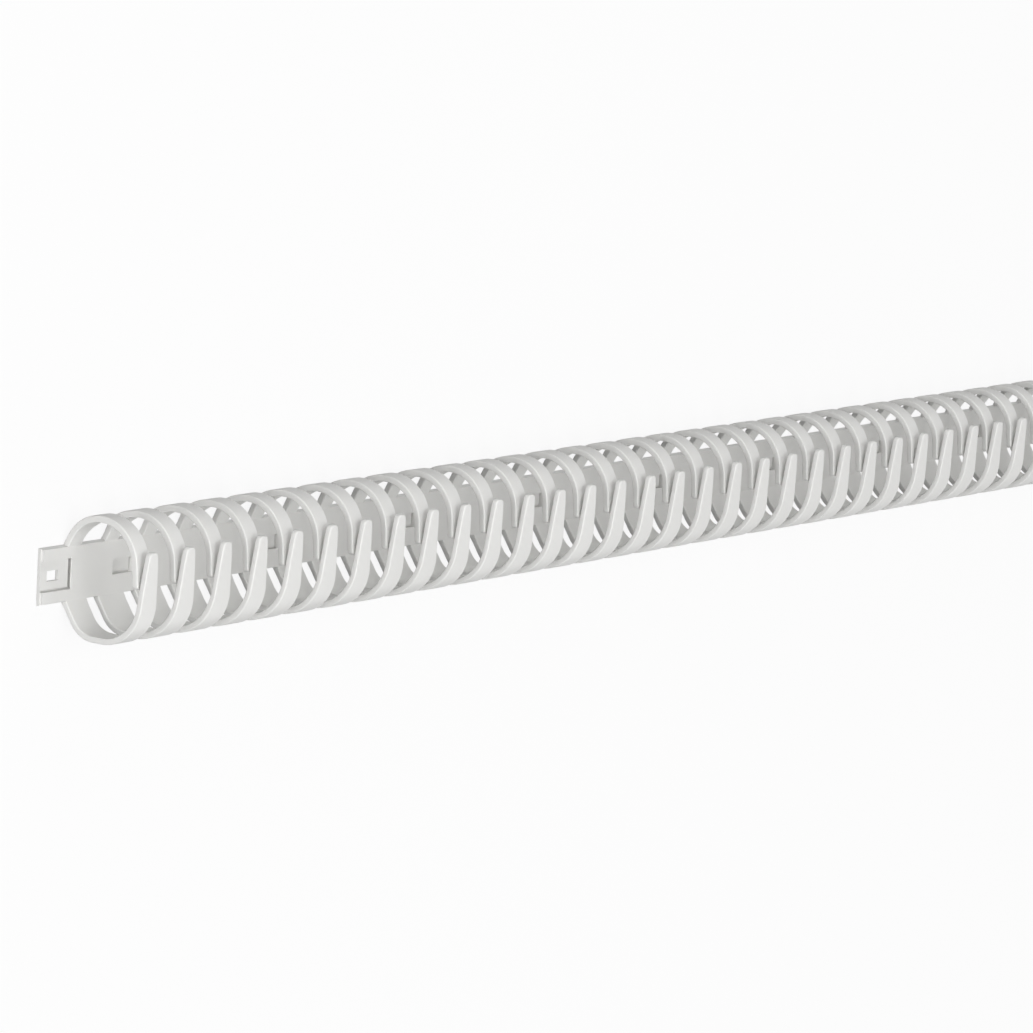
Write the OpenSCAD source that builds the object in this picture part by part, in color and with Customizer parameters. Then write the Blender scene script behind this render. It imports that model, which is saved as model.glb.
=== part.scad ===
// Flexible wiring duct: a flat spine with pairs of tapered fingers that close into an open tube.
// The duct lies on the back of its spine. X runs along the duct, Z points away from the spine's back.
// Each pair has an inner finger on the +Y edge and an outer finger on the -Y edge that laps over it.

/* [Length] */
// Length of the duct without its joining tongue
duct_l = 500; // [200:50:1000]
// Number of finger pairs along the duct
pairs = 41; // [12:1:45]
// Distance from the start of the duct to the middle of the first outer finger
first_outer_x = 2.45; // [2:0.05:4]
// Distance from the start of the duct to the middle of the first inner finger
first_inner_x = 2.05; // [2:0.05:4]

/* [Section] */
// Width across the finger sides
duct_w = 27.2; // [22:0.2:36]
// Height from the spine's back to the front of the outer fingers, over the middle of the duct
duct_h = 22.4; // [19:0.2:28]
// Thickness of the outer fingers
outer_finger_t = 1.35; // [0.8:0.05:2]
// Thickness of the inner fingers
inner_finger_t = 1.5; // [0.8:0.05:2]
// Gap between an inner finger and the outer finger that laps it, over the middle of the duct
lap_gap = 0.45; // [0.3:0.05:1.5]
// Height at which the outer fingers reach furthest out
outer_widest_z = 11.5; // [9:0.1:14]
// Height at which the inner fingers reach furthest out
inner_widest_z = 10.25; // [9:0.05:13]
// Angle at which an outer finger's straight front leans outwards
outer_lean = 5; // [2:1:8]
// Angle at which an inner finger's straight front leans outwards
inner_lean = 3; // [1:1:5]
// Distance from the middle of the duct to the outer finger's tip
outer_tip_y = 7.2; // [4:0.1:9]
// Distance from the middle of the duct to the inner finger's end
inner_end_y = 0.7; // [0:0.1:2]

/* [Fingers] */
// Width of an outer finger where it leaves the spine
outer_root_w = 8.4; // [6:0.1:9.8]
// Width of an outer finger where it reaches furthest out
outer_side_w = 7.75; // [5:0.05:9]
// Width of an outer finger at its shoulder, where it turns to the front
outer_shoulder_w = 6.25; // [5:0.05:8]
// Width of an outer finger at its tip
outer_tip_w = 2.85; // [2:0.05:4]
// Width of an inner finger where it leaves the spine
inner_root_w = 5.75; // [5:0.05:8]
// Width of an inner finger where it reaches furthest out
inner_side_w = 5; // [4:0.1:7]
// Width of an inner finger at its shoulder, where it turns to the front
inner_shoulder_w = 4.5; // [3.5:0.1:6]
// Width of an inner finger at its end
inner_end_w = 3.8; // [2.5:0.1:5]
// Corner radius of the finger ends
end_r = 0.8; // [0.3:0.1:1]

/* [Spine] */
// Width of the spine
spine_w = 12.4; // [10:0.1:16]
// Thickness of the spine
spine_t = 1.45; // [1.2:0.05:2]
// Length of the joining tongue before the start of the duct
tongue_l = 8; // [6:0.1:12]
// Width of the tongue's joining recess
recess_w = 6.6; // [4:0.1:9]
// Distance that the joining recess runs on past the start of the duct
recess_past_start = 1.4; // [1:0.1:5]
// Depth of the joining recess
recess_depth = 0.65; // [0.3:0.05:0.9]
// Distance from the tongue's end to the lips beside the recess
lip_setback = 0.3; // [0.1:0.05:1]
// Length of the catch slot in the tongue
catch_l = 3.6; // [2:0.1:4.5]
// Width of the catch slot in the tongue
catch_w = 2.25; // [1:0.05:3.5]
// Distance from the tongue's end to the catch slot
catch_from_end = 2.2; // [1:0.1:3]

/* [Knock-outs] */
// Distance from one screw knock-out to the next
knockout_pitch = 50; // [20:5:100]
// Length of a screw knock-out recess
knockout_l = 6.6; // [4:0.1:10]
// Width of a screw knock-out recess
knockout_w = 3.3; // [2:0.1:6]
// Depth of a screw knock-out recess
knockout_depth = 0.8; // [0.3:0.05:1]
// Distance from the start of the duct to the middle of the first knock-out
first_knockout_x = 18.1; // [14:0.1:30]

/* [Hidden] */
$fn = 96;
plastic = [0.86, 0.86, 0.85];
// margin by which a cutting shape passes the face that it cuts
over = 1;
pitch = duct_l / pairs;
half_w = duct_w / 2;
half_spine = spine_w / 2;
side_reach = half_w - half_spine;
// a finger's shoulder is where its front arc has turned half-way to the front
shoulder_turn = 45;
inner_front_z = duct_h - outer_finger_t / cos(outer_lean) - lap_gap;
outer_front_r = front_radius(duct_h, outer_widest_z, outer_lean);
inner_front_r = front_radius(inner_front_z, inner_widest_z, inner_lean);

// Length brought to a hundredth of a millimetre.
function to_hundredth(length) = round(length * 100) / 100;

// Radius of the front arc that runs tangent into a straight front with the given height and lean.
function front_radius(front_z, widest_z, lean) =
    to_hundredth(((front_z - widest_z) * cos(lean) - half_w * sin(lean)) / (1 - sin(lean)));

// Radius of the rear arc from the spine's back edge to the widest level.
function rear_radius(widest_z) =
    to_hundredth((side_reach * side_reach + widest_z * widest_z) / (2 * side_reach));

// Round band with the given outside radius and thickness.
module band(r, t) {
    difference() {
        circle(r = r);
        circle(r = r - t);
    }
}

// Section of one finger on the side that the sign gives: rear arc, front arc and straight leaning front.
module finger_section(side, t, widest_z, front_r, lean, past_middle) {
    rear_r = rear_radius(widest_z);
    far = 2 * front_r;
    straight_l = (half_w - front_r + front_r * sin(lean) + past_middle) / cos(lean);
    intersection() {
        translate([side * (half_w - rear_r), widest_z])
            band(rear_r, t);
        translate([side > 0 ? half_spine - t : -half_w - over, 0])
            square([side_reach + t + over, widest_z]);
    }
    translate([side * (half_w - front_r), widest_z])
        intersection() {
            rotate(-side * lean) {
                intersection() {
                    band(front_r, t);
                    translate([side > 0 ? 0 : -far, -far])
                        square([far, 2 * far]);
                }
                translate([side > 0 ? -straight_l : 0, front_r - t])
                    square([straight_l, t]);
            }
            translate([-far, 0])
                square([2 * far, far]);
        }
}

// Outline of a slot between two fingers, from steps of half finger width and place along the finger.
function slot_outline(left_x, right_x, steps) = concat([for (s = steps) [left_x + s[0], s[1]]],
    [for (k = [len(steps) - 1:-1:0]) [right_x - steps[k][0], steps[k][1]]]);

// Slots of one finger row. They are cut from the side up to the shoulder and from the front beyond it.
module finger_slots(side, t, first_x, widths, widest_z, front_r, past_middle) {
    rise = front_r * sin(shoulder_turn);
    shoulder_z = widest_z + rise;
    shoulder_y = half_w - front_r + sqrt(pow(front_r - t, 2) - rise * rise);
    side_steps = [[widths[0] / 2, -over], [widths[0] / 2, spine_t], [widths[1] / 2, widest_z],
        [widths[2] / 2, shoulder_z], [widths[2] / 2, shoulder_z + over]];
    front_steps = concat([[widths[2] / 2, side * (half_w + over)], [widths[2] / 2, side * shoulder_y]],
        [for (a = [0:30:90])
            [widths[3] / 2 - end_r * (1 - cos(a)), side * (end_r * (1 - sin(a)) - past_middle)]],
        [[widths[3] / 2 - end_r, -side * (past_middle + over)]]);
    for (i = [-1:pairs - 1]) {
        left_x = first_x + i * pitch;
        right_x = left_x + (i < pairs - 1 ? pitch : 2 * pitch);
        translate([0, half_w + over, 0])
            rotate([90, 0, 0])
                linear_extrude(duct_w + 2 * over)
                    polygon(slot_outline(left_x, right_x, side_steps));
        translate([0, 0, shoulder_z])
            linear_extrude(duct_h)
                polygon(slot_outline(left_x, right_x, front_steps));
    }
}

module outer_finger_row() {
    difference() {
        rotate([90, 0, 90])
            linear_extrude(duct_l)
                finger_section(-1, outer_finger_t, outer_widest_z, outer_front_r, outer_lean, outer_tip_y);
        finger_slots(-1, outer_finger_t, first_outer_x,
            [outer_root_w, outer_side_w, outer_shoulder_w, outer_tip_w], outer_widest_z, outer_front_r, outer_tip_y);
    }
}

module inner_finger_row() {
    difference() {
        rotate([90, 0, 90])
            linear_extrude(duct_l)
                finger_section(1, inner_finger_t, inner_widest_z, inner_front_r, inner_lean, inner_end_y);
        finger_slots(1, inner_finger_t, first_inner_x,
            [inner_root_w, inner_side_w, inner_shoulder_w, inner_end_w], inner_widest_z, inner_front_r, inner_end_y);
    }
}

// Flat spine with the joining tongue, its recess and catch slot, and the screw knock-outs.
module spine() {
    difference() {
        translate([-tongue_l, -half_spine, 0])
            cube([tongue_l + duct_l, spine_w, spine_t]);
        translate([-tongue_l - over, -recess_w / 2, spine_t - recess_depth])
            cube([tongue_l + over + recess_past_start, recess_w, recess_depth + over]);
        translate([-tongue_l - over, -half_spine - over, spine_t - recess_depth])
            cube([lip_setback + over, spine_w + 2 * over, recess_depth + over]);
        translate([-tongue_l + catch_from_end, -catch_w / 2, -over])
            cube([catch_l, catch_w, spine_t + 2 * over]);
        for (x = [first_knockout_x:knockout_pitch:duct_l - knockout_l])
            translate([x - knockout_l / 2, -knockout_w / 2, spine_t - knockout_depth])
                cube([knockout_l, knockout_w, knockout_depth + over]);
    }
}

// The whole moulding, with the origin under the middle of its length.
module duct() {
    color(plastic)
        translate([(tongue_l - duct_l) / 2, 0, 0]) {
            spine();
            outer_finger_row();
            inner_finger_row();
        }
}

duct();
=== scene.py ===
# %% [markdown]
# A flexible wiring duct is one plastic moulding: a flat spine, and at every pitch two curved fingers
# that lap over each other at the front. Cables lie in the tube that the fingers make and leave it
# between them. This lesson loads the duct's solid as a fixed frame, makes a finer duct with rounded
# edges over it, gives it a satin plastic and lights it on a white floor.

# %% Load the frame
import bpy
import numpy as np
from mathutils import Matrix, Vector


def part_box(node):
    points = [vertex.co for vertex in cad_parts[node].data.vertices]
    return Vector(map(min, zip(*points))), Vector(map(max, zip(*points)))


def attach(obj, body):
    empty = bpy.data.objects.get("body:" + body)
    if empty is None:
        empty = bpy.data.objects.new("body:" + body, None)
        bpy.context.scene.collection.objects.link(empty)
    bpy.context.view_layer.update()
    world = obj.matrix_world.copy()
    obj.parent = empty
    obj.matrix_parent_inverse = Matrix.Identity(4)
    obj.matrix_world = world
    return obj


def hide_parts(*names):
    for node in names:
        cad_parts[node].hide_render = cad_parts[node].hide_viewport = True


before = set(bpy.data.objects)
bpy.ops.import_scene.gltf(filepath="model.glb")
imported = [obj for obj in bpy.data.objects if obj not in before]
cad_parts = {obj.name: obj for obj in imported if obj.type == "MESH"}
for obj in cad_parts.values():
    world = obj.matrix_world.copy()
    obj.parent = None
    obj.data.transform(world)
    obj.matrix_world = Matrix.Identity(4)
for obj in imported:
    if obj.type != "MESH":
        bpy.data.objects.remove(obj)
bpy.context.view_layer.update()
duct_lo, duct_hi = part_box("duct")
print("solid duct from", tuple(duct_lo), "to", tuple(duct_hi))

scene = bpy.context.scene
scene.view_settings.view_transform = "Standard"

# %% [markdown]
# The main sizes are the solid's own. They are in millimetres and are turned into metres only at the very
# end. Lengths along the duct are counted from its start, where the joining tongue leaves the first finger
# pair. The outer row stands on the -Y edge of the spine and laps over the inner row on the +Y edge.

# %% Sizes of the duct
DUCT_L, PAIRS, TONGUE_L = 500.0, 41, 8.0
PITCH = DUCT_L / PAIRS
HALF_W, HEIGHT = 13.6, 22.4
HALF_SPINE, SPINE_T, LAP_GAP = 6.2, 1.45, 0.45
OUTER = dict(thick=1.35, first_x=2.45, widest_z=11.5, lean=np.radians(5), past_middle=7.2, front_z=HEIGHT)
INNER = dict(thick=1.5, first_x=2.05, widest_z=10.25, lean=np.radians(3), past_middle=0.7,
             front_z=HEIGHT - OUTER["thick"] / np.cos(OUTER["lean"]) - LAP_GAP)
print("finger pitch", round(PITCH, 3), "mm")

# %% [markdown]
# Every finger is a strip of sheet that is bent round the tube, so the duct is made the same way: first
# flat, as a comb, then bent. The bend is one path per side, on the sheet's outside face. It leaves the
# spine flat, turns up through a tight corner into a straight flank, rounds into the upright side, comes
# back along the front arc and ends in a straight front that leans a few degrees outwards.

# %% The bend of one row
CORNER_R = 1.8
OUTER.update(flank=np.radians(34), side_r=7.5)
INNER.update(flank=np.radians(28), side_r=10.0)


def bend_of(row):
    """The path's pieces, each with its length, its turn per millimetre and the path length at its end.

    Corner and side arc both touch the flank, a line that leaves the spine's edge at the flank angle. The
    side arc also touches the side, which runs upright to the widest level. The front arc goes on from there
    until it is as steep as the lean.
    """
    wide, lean, flank, side_r = row["widest_z"], row["lean"], row["flank"], row["side_r"]
    front_r = ((row["front_z"] - wide) * np.cos(lean) - HALF_W * np.sin(lean)) / (1 - np.sin(lean))
    cut = CORNER_R * np.tan(flank / 2)
    side_z = (side_r + (HALF_W - side_r - HALF_SPINE) * np.sin(flank)) / np.cos(flank)
    slope = (side_z - side_r * np.cos(flank)) / np.sin(flank) - cut
    straight = (HALF_W - front_r + front_r * np.sin(lean) + row["past_middle"]) / np.cos(lean)
    turns = np.array([0, flank, 0, np.pi / 2 - flank, 0, np.pi / 2 - lean, 0])
    lengths = np.array([HALF_SPINE - cut, CORNER_R * flank, slope, side_r * turns[3], wide - side_z,
                        front_r * turns[5], straight])
    return dict(lengths=lengths, bows=turns / lengths, stops=np.cumsum(lengths), front_r=front_r)


for row in (OUTER, INNER):
    row["bend"] = bend_of(row)
    print("pieces of the bend, in mm:", row["bend"]["lengths"].round(2))

# %% [markdown]
# A place on the path is found by walking it. Curves in Blender could carry a profile along such a path too,
# but the walk in numpy takes any number of points at once and also gives the direction into the sheet.

# %% Walking along the bend


def along(bend, s):
    """Place (y, z) and inward normal on the outside face at path length s, as arrays.

    The path is walked piece by piece. A piece of length d that turns by b per millimetre from direction
    a leads d * sinc(b d / 2) further, in the direction half-way through its turn.
    """
    y, z, heading = np.zeros_like(s), np.zeros_like(s), np.zeros_like(s)
    for length, bow, stop in zip(bend["lengths"], bend["bows"], bend["stops"]):
        gone = np.clip(s - (stop - length), 0, length)
        chord = gone * np.sinc(bow * gone / 2 / np.pi)
        y, z = y + chord * np.cos(heading + bow * gone / 2), z + chord * np.sin(heading + bow * gone / 2)
        heading = heading + bow * gone
    return y, z, -np.sin(heading), np.cos(heading)


for row in (OUTER, INNER):
    tip = np.array(along(row["bend"], row["bend"]["stops"][-1:]))[:2, 0]
    print("strip", round(row["bend"]["stops"][-1], 2), "mm long, its tip at y, z", tip.round(2))

# %% [markdown]
# A finger springs from a neck at the spine, is broadest at its belly a few millimetres up, and narrows to
# the widest level, to the shoulder and then to its end. The moulding has a small fillet where the finger
# leaves the spine's edge and round corners at its end, so both are stations of the same strip. Stations
# are listed once per row as path length and half width.

# %% Stations of one finger
FILLET_R = 0.2
OUTER.update(neck=8.4, belly_z=9.5, belly=8.6, side=7.75, shoulder=6.25, end=2.85, end_r=1.1)
INNER.update(neck=4.2, belly_z=5.0, belly=6.6, side=5.0, shoulder=4.5, end=3.8, end_r=0.8)
quarter = np.radians(np.linspace(0, 90, 6))


def path_lengths(row):
    """Path lengths from the spine's edge to the finger's end, closer together where the strip bends."""
    stops, end_r = row["bend"]["stops"], row["end_r"]
    edge = stops[0] + CORNER_R * row["flank"] / 2
    return edge, np.concatenate([
        edge + FILLET_R * (1 - np.cos(quarter)),
        np.linspace(edge + FILLET_R, stops[1], 3)[1:], np.linspace(stops[1], stops[2], 4)[1:],
        np.linspace(stops[2], stops[3], 9)[1:], np.linspace(stops[4], stops[5], 13),
        np.linspace(stops[5], stops[6] - end_r, 6)[1:-1], stops[6] - end_r * (1 - np.sin(quarter))])


def half_widths(row, s):
    """Half widths at path lengths s, and how far the fillet flares beyond them.

    Widths are read off the height up to the shoulder, at 45 degrees of the front arc, and off the distance
    from the duct's middle beyond it. A fillet or a round corner is a quarter circle in the flat strip.
    """
    front_r, wide = row["bend"]["front_r"], row["widest_z"]
    y, z, ny, nz = along(row["bend"], s)
    y, z = y + ny * row["thick"] / 2, z + nz * row["thick"] / 2
    rise = (front_r - row["thick"] / 2) * np.sin(np.pi / 4)
    low = np.interp(z, [SPINE_T, row["belly_z"], wide, wide + rise],
                    [row["neck"], row["belly"], row["side"], row["shoulder"]])
    high = np.interp(-y, [front_r - HALF_W - rise, row["past_middle"]], [row["shoulder"], row["end"]])
    half = np.where(s < row["bend"]["stops"][4] + front_r * np.pi / 4, low, high) / 2
    half[-6:] = row["end"] / 2 - row["end_r"] * (1 - np.cos(quarter))
    flare = np.zeros_like(s)
    flare[:6] = FILLET_R * (1 - np.sin(quarter))
    return half, flare


for row in (OUTER, INNER):
    row["edge"], row["s"] = path_lengths(row)
    row["half"], row["flare"] = half_widths(row, row["s"])
    print(len(row["s"]), "stations, spine edge at", round(row["edge"], 2), "mm")

# %% [markdown]
# Now the flat comb. Its outline is one closed line: along the tongue, in and out of every finger of the
# outer row, across the plain end, back along the inner row and across the tongue. The first pair is cut
# flush with the start of the duct. Each row's line is put together as whole arrays, one line per finger.

# %% Outline of one row
COLUMNS = 4


def row_line(row):
    """One row's outline from the tongue's corner to the plain end, as (x, s) points in the order of x.

    Per finger: left side from root to end, points across the end, right side back to the root, and one
    point in the gap that follows.
    """
    middle = row["first_x"] + PITCH * np.arange(PAIRS)[:, None]
    left, right = middle - row["half"], middle + row["half"]
    left[0] = np.maximum(left[0], 0)
    left, right = left - row["flare"], right + row["flare"]
    across = left[:, -1:] + (right - left)[:, -1:] * np.arange(1, COLUMNS - 1) / (COLUMNS - 1)
    gap = (right[:, :1] + np.append(left[1:, 0], DUCT_L)[:, None]) / 2
    x = np.concatenate([left, across, right[:, ::-1], gap], 1).ravel()
    s = np.concatenate([row["s"], np.full(COLUMNS - 2, row["s"][-1]), row["s"][::-1], [row["edge"]]])
    x = np.concatenate([[-TONGUE_L, (left[0, 0] - TONGUE_L) / 2], x, [DUCT_L]])
    s = np.concatenate([[row["edge"]] * 2, np.tile(s, PAIRS), [row["edge"]]])
    return np.stack([x, s], 1)


lower, upper = row_line(OUTER) * (1, -1), row_line(INNER)
print("points along one row", len(lower))

# %% [markdown]
# The two rows and the two ends are joined to one ring of points. The outer row takes negative path lengths,
# so that one number tells both the side and the distance from the spine's middle. The places of each
# stretch in the ring are noted, because the faces of the sheet are tied to them later.

# %% Outline of the flat comb
ROWS = 9
climb = np.linspace(lower[0, 1], upper[0, 1], ROWS)[1:-1]
plain_end = np.stack([np.full(ROWS - 2, DUCT_L), climb], 1)
tongue_end = np.stack([np.full(ROWS - 2, -TONGUE_L), climb], 1)
outline = np.concatenate([lower, plain_end, upper[::-1], tongue_end[::-1]])
count = len(outline)
lower_at = np.arange(len(lower))
upper_at = len(lower) + ROWS - 2 + np.arange(len(upper))[::-1]
plain_at = len(lower) + np.arange(ROWS - 2)
tongue_at = count - 1 - np.arange(ROWS - 2)
print("outline points", count)

# %% [markdown]
# A mould rounds every edge of the plastic a little, and those edges catch the light along each finger.
# A Bevel modifier could round them, but the short edges of the fillets would limit its width. The outline is
# moved inwards in small steps instead while the depth in the sheet changes, so that the edge runs round a
# quarter circle at the front and another at the back.

# %% Rounded edge of the flat comb
SPINE_EDGE_R, FINGER_EDGE_R = 0.15, 0.28
step = np.roll(outline, -1, 0) - outline
step /= np.linalg.norm(step, axis=1)[:, None]
inward = np.stack([-step[:, 1], step[:, 0]], 1)
before = np.roll(inward, 1, 0)
inward = (inward + before) / (1 + (inward * before).sum(1))[:, None]
edge_r = np.interp(np.abs(outline[:, 1]), [HALF_SPINE + 0.3, HALF_SPINE + 2], [SPINE_EDGE_R, FINGER_EDGE_R])
turn = np.radians(np.linspace(0, 90, 4))
turn = np.concatenate([turn, turn[::-1]])[:, None]
rim = outline + ((1 - np.sin(turn)) * edge_r)[..., None] * inward
edge_depth = (1 - np.cos(turn)) * edge_r
print("edge columns", rim.shape)

# %% [markdown]
# Bending carries each point of the flat comb onto the path of its own row and then into the sheet by its
# depth. The inside of the tube lies one thickness deep. The fingers are a little thinner or thicker than
# the spine, so the thickness changes over the first two millimetres of a finger.

# %% Bent sheet


def thickness(s):
    """Sheet thickness at path length s: the spine's up to its edge, the row's own from 2 mm beyond it."""
    return np.interp(s, [-HALF_SPINE - 2, -HALF_SPINE, HALF_SPINE, HALF_SPINE + 2],
                     [OUTER["thick"], SPINE_T, SPINE_T, INNER["thick"]])


def bent(x, s, depth):
    """Points of the flat sheet carried onto the duct: along the path of their own row, depth inwards."""
    rows = [np.stack(along(row["bend"], np.abs(s))) for row in (OUTER, INNER)]
    y, z, ny, nz = np.where(s < 0, rows[0], rows[1])
    return np.stack([x, np.sign(s) * (y + ny * depth), z + nz * depth], -1)


from_inside = (np.arange(8) < 4)[:, None]
rim_depth = np.where(from_inside, thickness(rim[..., 1]) - edge_depth, edge_depth)
print("rim depths from", rim_depth.min().round(2), "to", rim_depth.max().round(2), "mm")

# %% [markdown]
# The duct's surface is put together from grids. Each grid is a table of point numbers, and its faces lie
# between neighbours in the table. The first grid is the rounded edge, closed to a ring. Its first and last
# columns are the borders of the sheet's inside and outside face.

# %% Grid of the rounded edge
points, quads = [], []


def add_points(x, s, depth):
    """Adds bent points and gives their numbers, as a table in the shape of x."""
    numbers = sum(len(part) for part in points) + np.arange(x.size).reshape(x.shape)
    points.append(bent(x, s, depth).reshape(-1, 3))
    return numbers


def add_faces(table, flip):
    """Adds four-sided faces between the neighbours along a table's last two axes, turned over on request."""
    corners = table[..., :-1, :-1], table[..., :-1, 1:], table[..., 1:, 1:], table[..., 1:, :-1]
    faces = np.stack(corners, -1).reshape(-1, 4)
    quads.append(faces[:, ::-1] if flip else faces)


rim_at = add_points(rim[..., 0], rim[..., 1], rim_depth)
add_faces(np.concatenate([rim_at, rim_at[:, :1]], 1), True)
print("faces round the edge", len(quads[0]))

# %% [markdown]
# On each face of the sheet a finger is a small grid between its two sides, with the points across its end
# as the last line. All fingers of a row are worked out together, with the finger's number as the first axis.

# %% Grids of the fingers
INSIDE, OUTSIDE = 0, 7
STATIONS = len(OUTER["s"])
BLOCK = 2 * STATIONS + COLUMNS - 1
share = np.arange(1, COLUMNS - 1)[:, None] / (COLUMNS - 1)


def finger_grids(line_at, face, flip):
    """Adds one row's fingers on one face: straight lines from left side to right side at every station.

    Gives the numbers of the points along the spine's edge, from the tongue to the plain end.
    """
    first = 2 + BLOCK * np.arange(PAIRS)[:, None]
    left, right = line_at[first + np.arange(STATIONS)], line_at[first + BLOCK - 2 - np.arange(STATIONS)]
    across, gaps = line_at[first + STATIONS + np.arange(COLUMNS - 2)], line_at[first + BLOCK - 1]
    inner = rim[face][left[:, :-1], None] * (1 - share) + rim[face][right[:, :-1], None] * share
    x, s = inner[..., 0], inner[..., 1]
    number = rim_at[face]
    table = np.empty((PAIRS, STATIONS, COLUMNS), int)
    table[..., 0], table[..., -1], table[:, -1, 1:-1] = number[left], number[right], number[across]
    table[:, :-1, 1:-1] = add_points(x, s, thickness(s) if face == INSIDE else np.zeros_like(s))
    add_faces(table, flip)
    edge = np.concatenate([table[:, 0], number[gaps]], 1).ravel()
    return np.concatenate([number[line_at[:2]], edge, number[line_at[-1:]]])


edges = {face: (finger_grids(lower_at, face, face == INSIDE), finger_grids(upper_at, face, face == OUTSIDE))
         for face in (INSIDE, OUTSIDE)}
print("points along the spine's edge", len(edges[INSIDE][0]))

# %% [markdown]
# The spine is one long grid on each face, from the roots of the outer row to those of the inner row. With it
# the surface is closed, and it can be checked: a closed surface of this kind has as many points as faces,
# plus two.

# %% Grids of the spine
rise = np.arange(1, ROWS - 1)[:, None] / (ROWS - 1)


def spine_grid(face, low, high, flip):
    """Adds the spine's grid on one face: straight lines from the outer row's edge to the inner row's."""
    place = np.concatenate(points)[:, 0]
    x = place[low[1:-1]] * (1 - rise) + place[high[1:-1]] * rise
    s = np.broadcast_to(rim[face][lower_at[0], 1] * (1 - rise) + rim[face][upper_at[0], 1] * rise, x.shape)
    table = np.empty((ROWS, len(low)), int)
    table[0], table[-1] = low, high
    table[1:-1, 0], table[1:-1, -1] = rim_at[face][tongue_at], rim_at[face][plain_at]
    table[1:-1, 1:-1] = add_points(x, s, np.full(x.shape, SPINE_T if face == INSIDE else 0.0))
    add_faces(table, flip)


for face, (low, high) in edges.items():
    spine_grid(face, low, high, face == OUTSIDE)
points, quads = np.concatenate(points), np.concatenate(quads)
print("points", len(points), "faces", len(quads))

# %% [markdown]
# The points are turned into metres and moved along to the solid's own place, so that the finished object
# stays at the origin. A mesh takes the two lists as they are.

# %% Duct mesh
MM = 0.001
start_x = duct_lo.x + TONGUE_L * MM
places = points * MM + (start_x, 0, 0)
mesh = bpy.data.meshes.new("fingered_duct")
mesh.from_pydata(places.tolist(), [], quads.tolist())
piece = bpy.data.objects.new("fingered_duct", mesh)
scene.collection.objects.link(piece)
print("duct spans", places.min(0), places.max(0))

# %% [markdown]
# The spine and the tongue have straight-sided pockets. Such pockets are quickest to cut with boxes: all the
# boxes of one kind are one mesh, and a Boolean modifier takes that mesh out of the duct.

# %% Boxes that cut
OVER = 1.0
CORNERS = np.array([(0, 0, 0), (1, 0, 0), (1, 1, 0), (0, 1, 0), (0, 0, 1), (1, 0, 1), (1, 1, 1), (0, 1, 1)])
SIDES = np.array([(3, 2, 1, 0), (4, 5, 6, 7), (0, 1, 5, 4), (1, 2, 6, 5), (2, 3, 7, 6), (3, 0, 4, 7)])
cutters = []


def cut_boxes(name, spans):
    """Cuts boxes out of the duct, each given in millimetres as x, y and z from and to."""
    spans = np.array(spans, float).reshape(-1, 3, 2)
    corners = (spans[:, None, :, 0] + (spans[..., 1] - spans[..., 0])[:, None] * CORNERS).reshape(-1, 3)
    sides = (SIDES + 8 * np.arange(len(spans))[:, None, None]).reshape(-1, 4)
    cutter = bpy.data.objects.new(name, bpy.data.meshes.new(name))
    cutter.data.from_pydata((corners * MM + (start_x, 0, 0)).tolist(), [], sides.tolist())
    scene.collection.objects.link(cutter)
    cut = piece.modifiers.new(name, "BOOLEAN")
    cut.operation, cut.solver, cut.object = "DIFFERENCE", "EXACT", cutter
    cutters.append(cutter)


print("a box has", len(CORNERS), "corners and", len(SIDES), "sides")

# %% [markdown]
# The spine carries a row of shallow screw knock-outs. Each is scored along two sides, where its floor breaks
# out, and the scores show as a fine dark line in the shape of an L.

# %% Screw knock-outs
FIRST_KNOCKOUT_X, KNOCKOUT_PITCH, KNOCKOUT_DEPTH = 18.1, 50.0, 0.8
HALF_KNOCKOUT_L, HALF_KNOCKOUT_W = 3.3, 1.65
SCORE_W, SCORE_FLOOR = 0.5, 0.15
centres = np.arange(FIRST_KNOCKOUT_X, DUCT_L - 2 * HALF_KNOCKOUT_L, KNOCKOUT_PITCH)
pockets = [(x - HALF_KNOCKOUT_L, x + HALF_KNOCKOUT_L, -HALF_KNOCKOUT_W, HALF_KNOCKOUT_W,
            SPINE_T - KNOCKOUT_DEPTH, SPINE_T + OVER) for x in centres]
lengthwise = [(x - HALF_KNOCKOUT_L, x + HALF_KNOCKOUT_L, -HALF_KNOCKOUT_W, SCORE_W - HALF_KNOCKOUT_W,
               SCORE_FLOOR, SPINE_T) for x in centres]
crosswise = [(x + HALF_KNOCKOUT_L - SCORE_W, x + HALF_KNOCKOUT_L, -HALF_KNOCKOUT_W, HALF_KNOCKOUT_W,
              SCORE_FLOOR, SPINE_T) for x in centres]
print("knock-outs", len(centres))

# %% [markdown]
# The tongue slides into the next length of duct. It has a recess between two low lips, a catch slot right
# through it, and a dark undercut at the recess's inner end, where the next length hooks in.

# %% Recess and catch of the tongue
HALF_RECESS, RECESS_END, RECESS_DEPTH, LIP_SETBACK = 3.3, 1.4, 0.65, 0.3
UNDERCUT, UNDERCUT_TOP = 1.0, 1.15
CATCH_X, CATCH_L, HALF_CATCH = -5.8, 3.6, 1.125
lip_z, tongue_x = SPINE_T - RECESS_DEPTH, -TONGUE_L
catch = [(CATCH_X, CATCH_X + CATCH_L, -HALF_CATCH, HALF_CATCH, -OVER, SPINE_T + OVER)]
recess = [(tongue_x - OVER, RECESS_END, -HALF_RECESS, HALF_RECESS, lip_z, SPINE_T + OVER)]
setback = [(tongue_x - OVER, tongue_x + LIP_SETBACK, -HALF_W, HALF_W, lip_z, SPINE_T + OVER)]
lengthwise += [(tongue_x + LIP_SETBACK, RECESS_END, -HALF_RECESS, SCORE_W - HALF_RECESS, SCORE_FLOOR, SPINE_T)]
crosswise += [(RECESS_END - SCORE_W, RECESS_END + UNDERCUT, -HALF_RECESS, HALF_RECESS,
               SCORE_FLOOR, UNDERCUT_TOP)]
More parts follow.
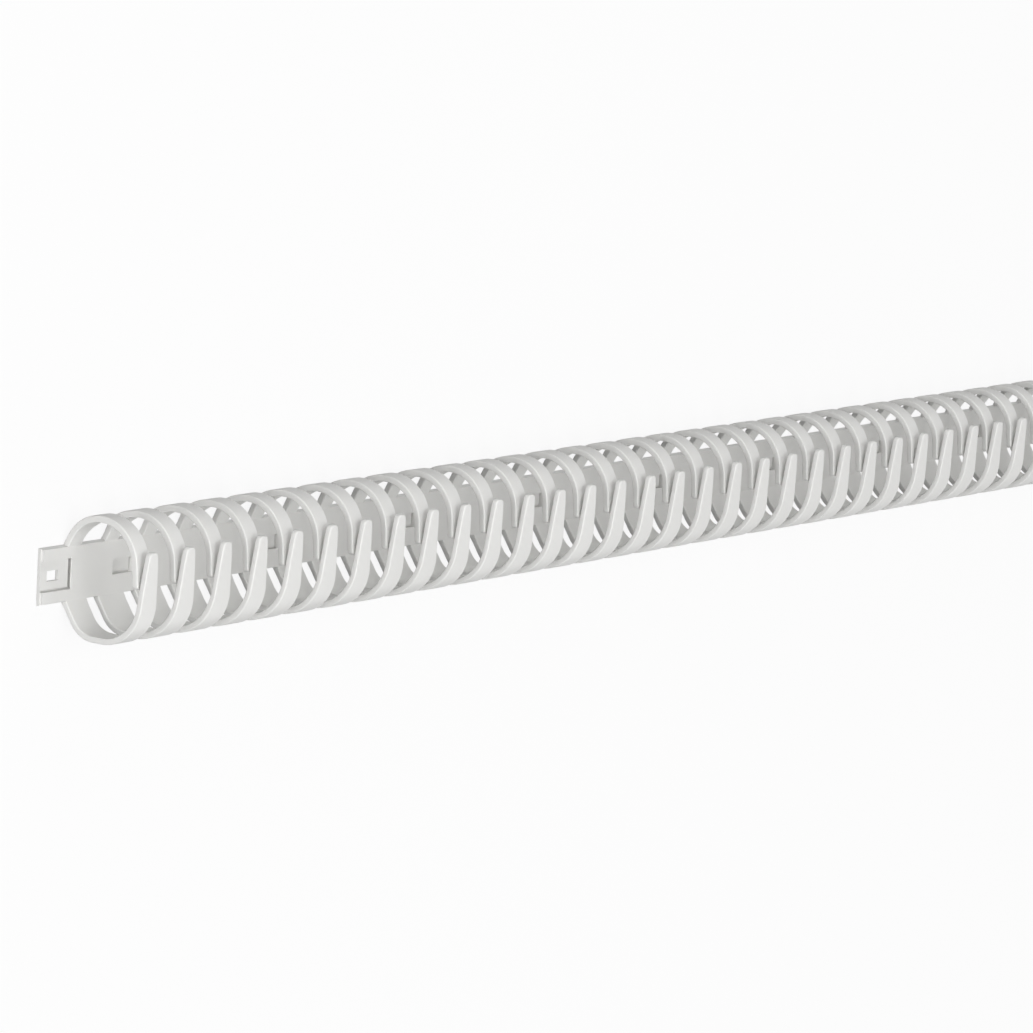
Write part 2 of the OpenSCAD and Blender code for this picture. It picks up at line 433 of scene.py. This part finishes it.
print("tongue recess", 2 * HALF_RECESS, "mm wide")

# %% [markdown]
# Boxes that touch or cross each other are kept in separate cuts, so that each Boolean has plain boxes to work
# with. The result is kept as the piece's own mesh and the boxes go away again.

# %% Cutting the pockets
cut_boxes("knockouts_and_catch", pockets + catch)
cut_boxes("tongue_recess", recess)
cut_boxes("lip_setback", setback)
cut_boxes("lengthwise_scores", lengthwise)
cut_boxes("crosswise_scores", crosswise)
piece.data = bpy.data.meshes.new_from_object(piece.evaluated_get(bpy.context.evaluated_depsgraph_get()))
piece.modifiers.clear()
for cutter in cutters:
    bpy.data.objects.remove(cutter)
print("faces after cutting", len(piece.data.polygons))

# %% [markdown]
# Smooth shading carries the light softly round the arcs and edges. Edges sharper than forty degrees stay
# crisp, and the Weighted Normal modifier lets the large faces keep their own direction right up to the
# rounded edge.

# %% Shading and standing in for the solid
piece.data.polygons.foreach_set("use_smooth", np.ones(len(piece.data.polygons), bool))
piece.data.set_sharp_from_angle(angle=np.radians(40))
even = piece.modifiers.new("even_faces", "WEIGHTED_NORMAL")
even.keep_sharp = True
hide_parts("duct")
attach(piece, "root")
print("fingered duct stands in for the solid")

# %% [markdown]
# Materials are written as sums. This small class wraps one output of a shader node, and plain arithmetic
# on it adds Math nodes, so that a formula in the text is the same formula in the material.

# %% Writing shader formulas


class Wire:
    """One output socket of a shader node, with arithmetic."""

    def __init__(self, tree, socket):
        self.tree, self.socket = tree, socket

    def node(self, kind, settings, sockets):
        """A new node in the same tree: its settings first, then its sockets' values or wires."""
        made = self.tree.nodes.new(kind)
        for name, value in settings.items():
            setattr(made, name, value)
        for name, value in sockets.items():
            if isinstance(value, Wire):
                self.tree.links.new(value.socket, made.inputs[name])
            else:
                made.inputs[name].default_value = value
        return made

    def value(self, kind, settings, sockets, output=0):
        """The wire that leaves a new node by the named output."""
        return Wire(self.tree, self.node(kind, settings, sockets).outputs[output])

    def sum(self, operation, first, second):
        """The wire from a Math node that works on two numbers or wires."""
        return self.value("ShaderNodeMath", {"operation": operation}, {0: first, 1: second})

    def __add__(self, other):
        return self.sum("ADD", self, other)

    def __radd__(self, other):
        return self.sum("ADD", other, self)

    def __mul__(self, other):
        return self.sum("MULTIPLY", self, other)

    def __rmul__(self, other):
        return self.sum("MULTIPLY", other, self)


print("arithmetic on wires:", [name for name in vars(Wire) if name.endswith(("add__", "mul__"))])

# %% [markdown]
# The plastic is a light neutral grey with the satin face of a spark-eroded mould. A slow noise lets the
# grey and the gloss drift a little from place to place, as pigment and mould do, and a fine noise gives
# the grain a slight bump.

# %% Satin plastic


def first_wire(owner, kind, output):
    """Empties the nodes of a material or world and gives the wire from its first new node."""
    owner.use_nodes = True
    owner.node_tree.nodes.clear()
    return Wire(owner.node_tree, owner.node_tree.nodes.new(kind).outputs[output])


plastic = bpy.data.materials.new("satin_plastic")
spot = first_wire(plastic, "ShaderNodeTexCoord", "Object")
drift = spot.value("ShaderNodeTexNoise", {}, {"Vector": spot, "Scale": 30.0, "Detail": 3.0}, "Fac")
grain = spot.value("ShaderNodeTexNoise", {}, {"Vector": spot, "Scale": 2200.0, "Detail": 2.0}, "Fac")
grey = spot.value("ShaderNodeMix", {"data_type": "RGBA"},
                  {"Factor": drift, "A": (0.70, 0.698, 0.682, 1), "B": (0.76, 0.758, 0.742, 1)}, 2)
relief = spot.value("ShaderNodeBump", {}, {"Strength": 0.25, "Distance": 0.00004, "Height": grain}, "Normal")
gloss = 0.38 + 0.12 * drift + 0.04 * grain
satin = spot.value("ShaderNodeBsdfPrincipled", {},
                   {"Base Color": grey, "Roughness": gloss, "Normal": relief, "IOR": 1.5})
spot.node("ShaderNodeOutputMaterial", {}, {"Surface": satin})
piece.data.materials.clear()
piece.data.materials.append(plastic)
print("plastic with", len(plastic.node_tree.nodes), "nodes")

# %% [markdown]
# The picture looks along the duct from its tongue end, from in front and a long way off, with the duct's
# width standing upright in the frame. The camera's turn is written as three angles about the duct's
# own axes: first about its width, then about its length, then a small roll in the picture. The focal length
# is given in picture widths.

# %% Camera
ROLL, TILT, SWING = -0.0539432, 0.1549866, 0.9500672
FOCAL_WIDTHS = 5.2232
look = Matrix.Rotation(ROLL, 3, "Z") @ Matrix.Rotation(TILT, 3, "X") @ Matrix.Rotation(SWING, 3, "Y")
offset = Vector((-95.622, -11.9215, -1134.9605)) * MM
eye = look.transposed() @ -offset + Vector((start_x, 0, 0))
camera = bpy.data.objects.new("camera", bpy.data.cameras.new("camera"))
camera.matrix_world = Matrix.Translation(eye) @ look.transposed().to_4x4()
camera.data.sensor_fit = "HORIZONTAL"
camera.data.sensor_width = 36
camera.data.lens = 36 * FOCAL_WIDTHS
camera.data.clip_end = 20
scene.collection.objects.link(camera)
scene.camera = camera
print("camera stands at", tuple(round(v, 3) for v in eye))

# %% [markdown]
# The duct lies on a plain pale floor that goes on past the picture's edge. Rays from the camera and from
# mirrors see it almost white, while soft light bounces off it as off grey paper, so the floor still keeps
# a faint shadow of the duct.

# %% Floor
REACH = 6.0
floor = bpy.data.objects.new("floor", bpy.data.meshes.new("floor"))
square = np.array([(-1, -1, 0), (1, -1, 0), (1, 1, 0), (-1, 1, 0)]) * REACH
floor.data.from_pydata(square.tolist(), [], [(0, 1, 2, 3)])
scene.collection.objects.link(floor)


def looked_at(seen):
    """One for rays from the camera, from a reflection or through glass, and nothing for soft light."""
    rays = seen.socket.node.outputs
    return seen + Wire(seen.tree, rays["Is Glossy Ray"]) + Wire(seen.tree, rays["Is Transmission Ray"])


paper = bpy.data.materials.new("white_floor")
seen = first_wire(paper, "ShaderNodeLightPath", "Is Camera Ray")
tone = seen.value("ShaderNodeMix", {"data_type": "RGBA"},
                  {"Factor": seen, "A": (0.12, 0.12, 0.12, 1), "B": (0.8, 0.8, 0.8, 1)}, 2)
matt = seen.value("ShaderNodeBsdfDiffuse", {}, {"Color": tone})
white = seen.value("ShaderNodeEmission", {}, {"Color": (1, 1, 1, 1), "Strength": 1.0})
blend = seen.value("ShaderNodeMixShader", {}, {0: 0.9 * looked_at(seen), 1: matt, 2: white})
seen.node("ShaderNodeOutputMaterial", {}, {"Surface": blend})
floor.data.materials.append(paper)
print("floor", 2 * REACH, "m wide")

# %% [markdown]
# Behind the floor is a plain white sky. It looks white to the camera and in reflections and gives only a
# little light of its own, so that the lamps still model the fingers.

# %% Sky
world = bpy.data.worlds.new("studio")
scene.world = world
sky = first_wire(world, "ShaderNodeLightPath", "Is Camera Ray")
glow = sky.value("ShaderNodeBackground", {}, {"Color": (1, 1, 1, 1), "Strength": 0.15 + 0.85 * looked_at(sky)})
sky.node("ShaderNodeOutputWorld", {}, {"Surface": glow})
print("sky with", len(world.node_tree.nodes), "nodes")

# %% [markdown]
# The light is that of a small photo table: square soft lamps on a wide circle round the duct. The key lamp
# hangs near the camera, so that it reaches the spine through the same gaps that the picture looks through.
# Two shine low from the tongue's end and from the lapped side and fill the inside of the tube, and three
# weaker ones soften the far end, the lower edge and the side that the picture doesn't show. Each is given
# by its direction and its power.

# %% Light
LAMP_FAR, LAMP_SIZE = 1.5, 0.8


def softbox(name, direction, watts):
    """A square area lamp at the fixed distance in a direction, turned to face the duct's middle."""
    light = bpy.data.lights.new(name, "AREA")
    light.shape, light.size, light.energy = "SQUARE", LAMP_SIZE, watts
    lamp = bpy.data.objects.new(name, light)
    place = Vector(direction).normalized() * LAMP_FAR
    lamp.matrix_world = Matrix.Translation(place) @ (-place).to_track_quat("-Z", "Y").to_matrix().to_4x4()
    scene.collection.objects.link(lamp)
    print(name, "gives", watts, "W")


softbox("key", (-0.48, 0.05, 0.87), 8.6)
softbox("tongue_end", (-0.95, 0, 0.25), 12)
softbox("lapped_side", (0, 0.95, 0.25), 6)
softbox("far_end", (0.35, 0.35, 0.87), 3)
softbox("lower_edge", (0, -0.4, 0.92), 3.5)
softbox("far_side", (0.5, -0.8, 0.35), 5)

# %% [markdown]
